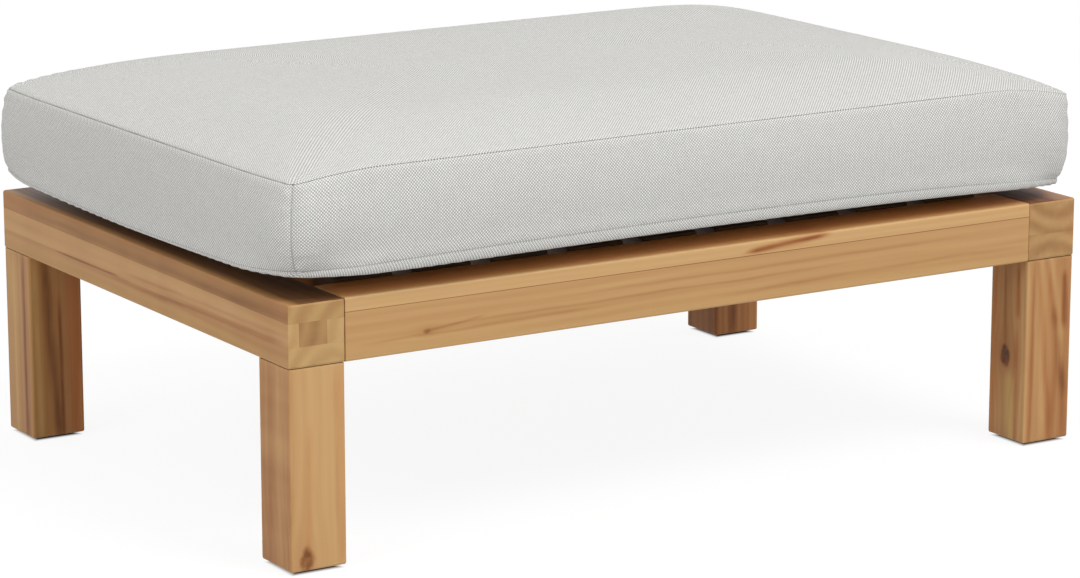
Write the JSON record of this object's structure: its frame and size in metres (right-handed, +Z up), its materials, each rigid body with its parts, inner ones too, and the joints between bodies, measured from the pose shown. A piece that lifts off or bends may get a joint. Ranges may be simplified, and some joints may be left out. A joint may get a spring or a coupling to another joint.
{
  "type": "outdoor ottoman footstool",
  "caption": "Low rectangular outdoor footstool: acacia rail frame on square legs, slatted deck, and a loose boxed seat cushion in a zipped fabric cover.",
  "frame": {"origin": "on the floor, under the middle of the footstool", "axes": "+X along the long side, +Y to the back (the cushion's zip side), +Z up"},
  "size_m": [1.008, 0.683, 0.4323],
  "materials": {
    "acacia": "satin",
    "dowel_wood": "matte",
    "cover_fabric": "matte",
    "foam": "matte",
    "zip_tape": "matte",
    "zip_metal": "satin",
    "zinc_steel": "satin",
    "glide_plastic": "matte"
  },
  "bodies": {
    "frame": {"end_rail_left": "acacia", "end_rail_right": "acacia", "front_rail": "acacia", "back_rail": "acacia", "leg_front_left": "acacia", "leg_front_right": "acacia", "leg_back_left": "acacia", "leg_back_right": "acacia", "front_cleat": "acacia", "back_cleat": "acacia", "slat_1": "acacia", "slat_2": "acacia", "slat_3": "acacia", "slat_4": "acacia", "slat_5": "acacia", "slat_6": "acacia", "slat_7": "acacia", "slat_8": "acacia", "slat_9": "acacia", "leg_dowel_front_left_1": "dowel_wood", "leg_dowel_front_left_2": "dowel_wood", "leg_dowel_front_right_1": "dowel_wood", "leg_dowel_front_right_2": "dowel_wood", "leg_dowel_back_left_1": "dowel_wood", "leg_dowel_back_left_2": "dowel_wood", "leg_dowel_back_right_1": "dowel_wood", "leg_dowel_back_right_2": "dowel_wood", "foot_glide_front_left": "glide_plastic", "foot_glide_front_right": "glide_plastic", "foot_glide_back_left": "glide_plastic", "foot_glide_back_right": "glide_plastic", "corner_bracket_front_left": "zinc_steel", "corner_bracket_front_right": "zinc_steel", "corner_bracket_back_left": "zinc_steel", "corner_bracket_back_right": "zinc_steel", "bracket_screw_front_left_1": "zinc_steel", "bracket_screw_front_left_2": "zinc_steel", "bracket_screw_front_left_3": "zinc_steel", "bracket_screw_front_left_4": "zinc_steel", "bracket_screw_front_right_1": "zinc_steel", "bracket_screw_front_right_2": "zinc_steel", "bracket_screw_front_right_3": "zinc_steel", "bracket_screw_front_right_4": "zinc_steel", "bracket_screw_back_left_1": "zinc_steel", "bracket_screw_back_left_2": "zinc_steel", "bracket_screw_back_left_3": "zinc_steel", "bracket_screw_back_left_4": "zinc_steel", "bracket_screw_back_right_1": "zinc_steel", "bracket_screw_back_right_2": "zinc_steel", "bracket_screw_back_right_3": "zinc_steel", "bracket_screw_back_right_4": "zinc_steel"},
    "cushion": {"cushion_cover": "cover_fabric", "foam_core": "foam", "zip_chain": "zip_tape"},
    "zip_slider": {"zip_slider": "zip_metal"},
    "zip_pull": {"zip_pull": "zip_metal"}
  },
  "joints": [
    {"name": "cushion_lift", "type": "slide", "parent": "frame", "child": "cushion", "axis": [0, 0, 1], "range_m": [0, 0.25]},
    {"name": "zip_run", "type": "slide", "parent": "cushion", "child": "zip_slider", "axis": [-1, 0, 0], "range_m": [0, 0.59]},
    {"name": "pull_swing", "type": "hinge", "parent": "zip_slider", "child": "zip_pull", "pos_m": [0.2984, 0.3397, 0.34038], "axis": [0, 0, -1], "range_deg": [0, 180]}
  ]
}
